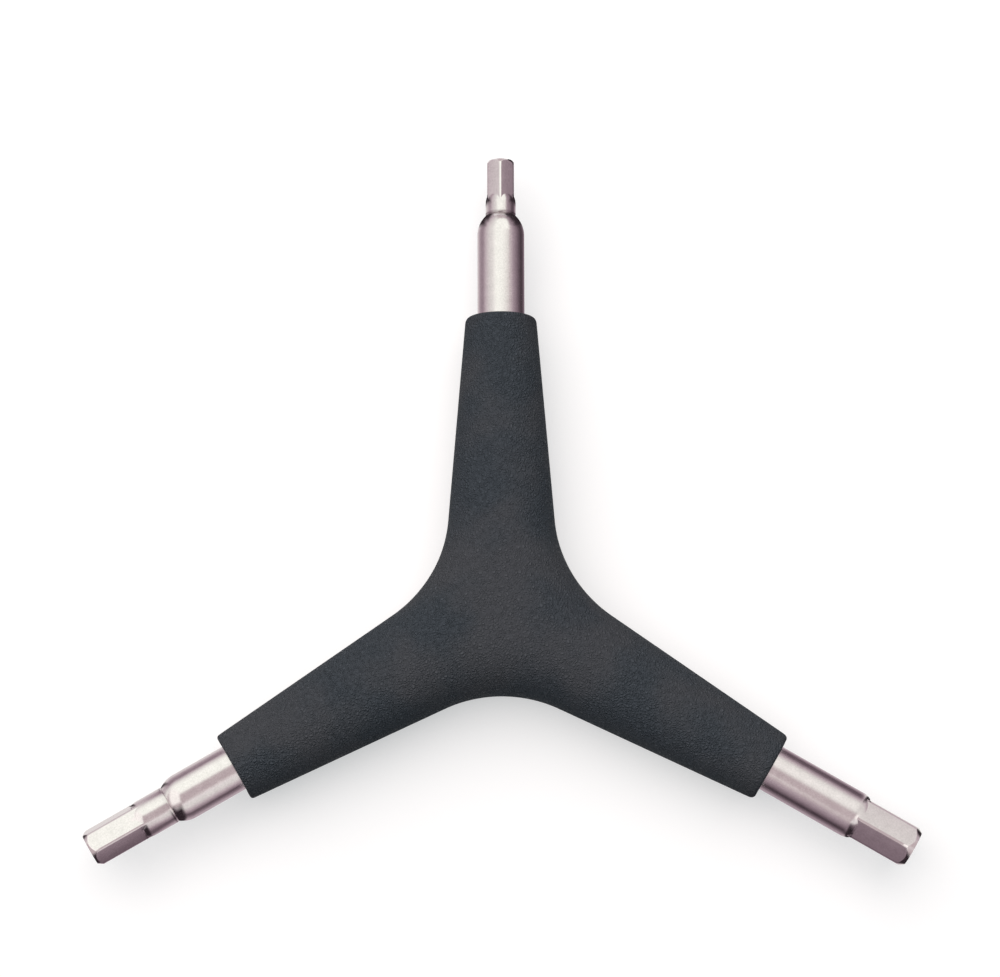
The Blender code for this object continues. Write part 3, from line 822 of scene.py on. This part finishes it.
def plate_material(name, angle, steel, mottle):
    """Satin plating on a bit: fine mottling, with corners rubbed a little brighter and smoother."""
    material, tree, shader = new_material(name)
    turned = add_node(tree, "Mapping", {"Vector": own_place(tree), "Rotation": (0, 0, -angle)}).outputs[0]
    found = use_group(tree, mottle, {"Place": turned, "Fineness": 1 / steel.mottle_size})
    edge, grime = painted(tree, "edge"), painted(tree, "grime")
    cloud = remapped(tree, found["Cloud"], CLOUD_RANGE, around(1, PLATE_CLOUDING))
    speck = remapped(tree, found["Height"], NOISE_RANGE, around(1, PLATE_SPECKLING))
    clouded = combined(tree, tuple(steel.plate_colour), calculated(tree, cloud, speck))
    rubbed = mix_colours(tree, calculated(tree, edge, RUBBED_SHARE), clouded, opaque(steel.rubbed_colour))
    # Painted shade: the groove's base colour is mixed towards a dark colour.
    tree.links.new(mix_colours(tree, grime, rubbed, opaque(steel.painted_shade_colour)), shader["Base Color"])
    satin = remapped(tree, found["Cloud"], CLOUD_RANGE, around(steel.plate_roughness, PLATE_UNEVENNESS))
    rough = calculated(tree, satin, calculated(tree, edge, RUBBED_SMOOTHING), 'SUBTRACT')
    tree.links.new(rough, shader["Roughness"])
    shader["Metallic"].default_value = 1.0
    add_bump(tree, shader, found["Height"], steel.mottle_depth)
    return material


def inner_material(name, rgb, mottle, metallic, roughness, fineness, depth):
    """Plain mottled finish for a piece inside the grip."""
    material, tree, shader = new_material(name)
    found = use_group(tree, mottle, {"Place": own_place(tree), "Fineness": fineness})
    cloud = remapped(tree, found["Cloud"], CLOUD_RANGE, around(1, INNER_CLOUDING))
    rough = remapped(tree, found["Cloud"], CLOUD_RANGE, around(roughness, INNER_UNEVENNESS))
    tree.links.new(combined(tree, tuple(rgb), cloud), shader["Base Color"])
    tree.links.new(rough, shader["Roughness"])
    shader["Metallic"].default_value = metallic
    add_bump(tree, shader, found["Height"], depth)
    return material


def put_on(node, material):
    """Give a CAD node a material without touching its mesh's vertices."""
    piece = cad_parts[node]
    piece.data.materials.clear()
    piece.data.materials.append(material)


def shared_group(name, build):
    """A node group that is built the first time it is asked for."""
    return bpy.data.node_groups.get(name) or build()


def bit_properties(settings):
    """The settings of each bit by its size."""
    return {size: getattr(settings, "bit_" + size) for size in ARM_TURNS}


class YWRENCH_OT_model_grip(Operator):
    """Model the soft three-armed grip in place of its plain solid"""

    bl_idname = "y_wrench.model_grip"
    bl_label = "Model Grip"

    def execute(self, context):
        settings = context.scene.y_wrench
        material = skin_material(settings.grip, shared_group("pebbled_grain", pebbled_grain_group))
        bm = model_grip(settings.grip, bit_properties(settings))
        piece = finish_piece("soft_grip", bm, material, "grip")
        smoothing = piece.modifiers.new("smoothing", 'SUBSURF')
        smoothing.levels = smoothing.render_levels = 1
        return {'FINISHED'}


class YWRENCH_OT_model_bits(Operator):
    """Model the three plated steel bits in place of their plain solids"""

    bl_idname = "y_wrench.model_bits"
    bl_label = "Model Bits"

    def execute(self, context):
        settings = context.scene.y_wrench
        mottle = shared_group("mottle", mottle_group)
        for size, bit in bit_properties(settings).items():
            material = plate_material("plate_" + size, ARM_TURNS[size], settings.steel, mottle)
            piece = finish_piece("steel_bit_" + size, model_bit(size, bit), material, "hex_bit_" + size)
            cut_cross_hole(piece, size, bit.pin_gap)
        return {'FINISHED'}


class YWRENCH_OT_finish_inside(Operator):
    """Give the hub, its cross pins and the core their finishes"""

    bl_idname = "y_wrench.finish_inside"
    bl_label = "Finish Inside"

    def execute(self, context):
        steel = context.scene.y_wrench.steel
        mottle = shared_group("mottle", mottle_group)
        put_on("centre_hub", inner_material("cast_hub", steel.hub_colour, mottle, metallic=1.0,
                                            roughness=0.5, fineness=2500.0, depth=0.00003))
        put_on("inner_core", inner_material("nylon", steel.core_colour, mottle, metallic=0.0,
                                            roughness=0.5, fineness=1800.0, depth=0.00001))
        pin_steel = inner_material("ground_pin", steel.pin_colour, mottle, metallic=1.0,
                                   roughness=0.32, fineness=5000.0, depth=0.000002)
        for size in ARM_TURNS:
            put_on("hub_pin_" + size, pin_steel)
        return {'FINISHED'}


def add_stage_mesh(name, bm, material):
    """A mesh that belongs to the stage and not to the wrench."""
    made = add_mesh_object(name, bm)
    made.data.materials.append(material)
    return made


def ray_masks(tree):
    """Masks that are 1 for rays from the camera, and 1 for rays that polished metal or glass sends on."""
    rays = tree.nodes.new("ShaderNodeLightPath").outputs
    sent_on = calculated(tree, rays["Is Glossy Ray"], rays["Is Transmission Ray"], 'MAXIMUM')
    return rays["Is Camera Ray"], sent_on


def add_floor(stage):
    """Plain white floor that keeps the wrench's shadow."""
    material, tree, shader = new_material("floor")
    camera, sent_on = ray_masks(tree)
    shown = calculated(tree, camera, sent_on, 'MAXIMUM')
    tone = mix_colours(tree, shown, opaque(stage.bounce_colour), opaque(stage.floor_colour))
    tree.links.new(tone, shader["Base Color"])
    shader["Emission Color"].default_value = WHITE
    tree.links.new(calculated(tree, shown, stage.floor_glow), shader["Emission Strength"])
    shader["Roughness"].default_value = 1.0
    shader["Specular IOR Level"].default_value = 0.0
    bm = bmesh.new()
    bmesh.ops.create_circle(bm, cap_ends=True, segments=FLOOR_SIDES, radius=FLOOR_RADIUS)
    add_stage_mesh("floor", bm, material)


def light_room(stage):
    """White backdrop, soft even fill, and grey walls for the metal to show."""
    world = bpy.data.worlds.new("room")
    world.use_nodes = True
    tree = world.node_tree
    camera, sent_on = ray_masks(tree)
    walls = mix_colours(tree, sent_on, opaque(stage.fill_colour), opaque(stage.room_colour))
    seen = mix_colours(tree, camera, walls, WHITE)
    tree.links.new(seen, tree.nodes["Background"].inputs["Color"])
    bpy.context.scene.world = world


def card_material(name, dark_tint, light_tint):
    """A card that shows each vertex's tone, tinted by how dark it is, and fades out with its cover."""
    material = bpy.data.materials.new(name)
    material.use_nodes = True
    tree = material.node_tree
    tree.nodes.clear()
    tone, cover = painted(tree, "tone"), painted(tree, "cover")
    lightness = calculated(tree, tone, 1 / CARD_LIGHTEST)
    tint = mix_colours(tree, lightness, opaque(dark_tint), opaque(light_tint))
    glow = add_node(tree, "Emission", {"Color": tint, "Strength": tone}).outputs[0]
    clear = tree.nodes.new("ShaderNodeBsdfTransparent").outputs[0]
    both = add_node(tree, "MixShader", {0: cover, 1: clear, 2: glow}).outputs[0]
    tree.links.new(both, tree.nodes.new("ShaderNodeOutputMaterial").inputs["Surface"])
    material.cycles.emission_sampling = 'NONE'
    return material


def show_in_metal_only(card):
    """Let a card be seen only in reflections, so that it throws no light or shade itself."""
    card.visible_camera = card.visible_diffuse = card.visible_shadow = False
    card.visible_transmission = card.visible_volume_scatter = False


def read_off(stops, at):
    """Value at a place along a row of (place, value) stops."""
    if at <= stops[0][0]:
        return stops[0][1]
    for (low, first), (high, second) in zip(stops, stops[1:]):
        if at <= high:
            return first + (second - first) * (at - low) / (high - low)
    return stops[-1][1]


def add_curved_card(name, size, line, first, last, tone_at, cover_at):
    """A card swept round a bit: a line of (distance, radius) points, spun from one angle to another."""
    bm = bmesh.new()
    tone, cover = bm.verts.layers.float.new("tone"), bm.verts.layers.float.new("cover")
    points = [bm.verts.new((distance, 0, radius)) for distance, radius in line]
    edges = [bm.edges.new(pair) for pair in zip(points, points[1:])]
    start = Matrix.Rotation(math.radians(-first), 3, 'X')
    bmesh.ops.rotate(bm, verts=bm.verts, cent=(0, 0, 0), matrix=start)
    bmesh.ops.spin(bm, geom=points + edges, cent=(0, 0, 0), axis=(1, 0, 0),
                   angle=math.radians(first - last), steps=CARD_STEPS)
    for vert in bm.verts:
        swing = math.degrees(math.atan2(vert.co.y, vert.co.z))
        if swing < min(first, last) - CARD_SLACK:
            swing += FULL_TURN
        vert[tone] = tone_at(swing, vert.co.x)
        vert[cover] = min(max(cover_at(swing, math.hypot(vert.co.y, vert.co.z)), 0), 1)
    bmesh.ops.transform(bm, verts=bm.verts, matrix=arm_placement(ARM_TURNS[size]))
    show_in_metal_only(add_stage_mesh(name, bm, card_material(name, CARD_DARK_TINT, CARD_LIGHT_TINT)))


def add_side_card(size, side, bit):
    """A card bent round one side of a bit, whose tones go over from the shank's to the hexagon's."""
    places, way = bit_places(size, bit), SIDES[side]
    shank, hexagon = SHANK_TONES[size, side], HEXAGON_TONES[size, side]
    top_edge = shank[0][0]
    change = places.neck, max(places.rounding, places.neck + bit.rounding)
    ends = reach("grip", ARM_TURNS[size]), *change, places.tip + CARD_OVERHANG

    def tone_at(swing, distance):
        part = read_off(((change[0], 0), (change[1], 1)), distance)
        return read_off(shank, way * swing) * (1 - part) + read_off(hexagon, way * swing) * part

    add_curved_card("card_%s_%s" % (size, side), size, [(distance, CARD_RADIUS) for distance in ends],
                    way * top_edge, way * CARD_LOW_EDGE, tone_at,
                    lambda swing, radius: (way * swing - top_edge) / CARD_FADE)


def add_flags(size, bit):
    """Black flags that stand on a bit, and fade out at their ends and towards their outer rim."""
    places, corner = bit_places(size, bit), corner_radius(bit)
    line = even(corner, CARD_RADIUS, FLAG_RINGS)
    stands = {"hexagon": (places.hexagon, SHOULDER_FLAGS),
              "tip": (places.tip + FLAG_BEYOND_TIP, TIP_FLAGS)}
    if bit.shoulder:
        stands["neck"] = places.neck, SHOULDER_FLAGS
    for name, (distance, ends) in stands.items():
        first, last = ends[size]

        def cover_at(swing, radius):
            to_rim = (CARD_RADIUS - radius) / (CARD_RADIUS - corner)
            return min((swing - first) / FLAG_FADE, (last - swing) / FLAG_FADE, to_rim / FLAG_RIM_FADE)

        add_curved_card("flag_%s_%s" % (size, name), size, [(distance, radius) for radius in line],
                        first, last, lambda swing, at: FLAG_TONE, cover_at)


def toward(azimuth, elevation, distance):
    """Placement away from the hub in a direction given in degrees, with +Z facing away from it."""
    turned = Matrix.Rotation(math.radians(azimuth - 90), 4, 'Z')
    risen = Matrix.Rotation(math.radians(elevation - 90), 4, 'X')
    return turned @ risen @ Matrix.Translation((0, 0, distance))


def add_flat_card(name, stage, azimuth, elevation, half_width, half_height, fade, level, tint):
    """Face of a softbox or a white card as polished metal shows it, fading out at its sides."""
    sides, foot, head = fade
    bm = bmesh.new()
    tone, cover = bm.verts.layers.float.new("tone"), bm.verts.layers.float.new("cover")
    bmesh.ops.create_grid(bm, x_segments=FLAT_CARD_STEPS, y_segments=FLAT_CARD_STEPS, size=1)
    for vert in bm.verts:
        inside = min((1 - abs(vert.co.x)) / sides, (1 + vert.co.y) / foot, (1 - vert.co.y) / head, 1)
        vert[tone] = getattr(stage, level)
        vert[cover] = inside * inside * (3 - 2 * inside)
    spread = Matrix.Diagonal((half_width, half_height, 1, 1))
    place = toward(azimuth, elevation, FLAT_CARD_DISTANCE)
    bmesh.ops.transform(bm, verts=bm.verts, matrix=place @ spread)
    show_in_metal_only(add_stage_mesh(name, bm, card_material(name, tint, tint)))


def add_lamp(stage):
    """The round lamp inside the softbox, as bright as a face of its size."""
    lamp = bpy.data.lights.new("softbox_lamp", 'AREA')
    lamp.shape = 'DISK'
    lamp.size = LAMP_WIDTH
    lamp.color = LAMP_TINT
    lamp.energy = stage.lamp_level * math.pi * math.pi * (LAMP_WIDTH / 2) ** 2
    light = add_object("softbox_lamp", lamp)
    light.matrix_world = toward(LAMP_AZIMUTH, LAMP_ELEVATION, LAMP_DISTANCE)
    light.visible_glossy = False


def add_camera(stage):
    """Camera that looks almost straight down, with the 4 mm arm leaning away from it."""
    data = bpy.data.cameras.new("camera")
    data.lens = stage.camera_lens
    camera = add_object("camera", data)
    turned = (Matrix.Rotation(-stage.camera_yaw, 4, 'Y') @ Matrix.Rotation(stage.camera_pitch, 4, 'X')
              @ Matrix.Rotation(-stage.camera_roll, 4, 'Z'))
    back = Matrix.Translation((-stage.aim_across, -stage.aim_up, stage.camera_distance))
    camera.matrix_world = Matrix.Translation((0, 0, MIDDLE)) @ turned @ back
    bpy.context.scene.camera = camera


class YWRENCH_OT_set_stage(Operator):
    """Lay the floor, and set the lights and the camera"""

    bl_idname = "y_wrench.set_stage"
    bl_label = "Set Stage"

    def execute(self, context):
        settings = context.scene.y_wrench
        add_floor(settings.stage)
        light_room(settings.stage)
        add_lamp(settings.stage)
        for name, card in FLAT_CARDS.items():
            add_flat_card(name, settings.stage, **card)
        for size, bit in bit_properties(settings).items():
            for side in SIDES:
                add_side_card(size, side, bit)
            add_flags(size, bit)
        add_camera(settings.stage)
        context.scene.view_settings.view_transform = 'Standard'
        return {'FINISHED'}


class YWRENCH_PT_steps(Panel):
    """Steps that build the wrench, with the settings that they read"""

    bl_label = "Y Wrench"
    bl_idname = "YWRENCH_PT_steps"
    bl_space_type = 'VIEW_3D'
    bl_region_type = 'UI'
    bl_category = "Y Wrench"

    def draw(self, context):
        settings = context.scene.y_wrench
        for step in STEPS:
            self.layout.operator(step.bl_idname)
        for group in (settings.grip, *bit_properties(settings).values(), settings.steel, settings.stage):
            box = self.layout.box()
            for name in group.__annotations__:
                box.prop(group, name)


STEPS = (YWRENCH_OT_model_grip, YWRENCH_OT_model_bits, YWRENCH_OT_finish_inside, YWRENCH_OT_set_stage)
CLASSES = (GripSettings, Bit4mmSettings, Bit5mmSettings, Bit6mmSettings, SteelSettings, StageSettings,
           WrenchSettings, *STEPS, YWRENCH_PT_steps)


def register():
    """Register the settings, the steps and the panel."""
    for item in CLASSES:
        bpy.utils.register_class(item)
    bpy.types.Scene.y_wrench = PointerProperty(type=WrenchSettings)


def unregister():
    """Take everything out again."""
    del bpy.types.Scene.y_wrench
    for item in reversed(CLASSES):
        bpy.utils.unregister_class(item)


def main():
    """Build the wrench and its stage, and write the sizes before and after."""
    register()
    bpy.ops.y_wrench.model_grip()
    bpy.ops.y_wrench.model_bits()
    bpy.ops.y_wrench.finish_inside()
    bpy.ops.y_wrench.set_stage()


if __name__ == "__main__":
    main()
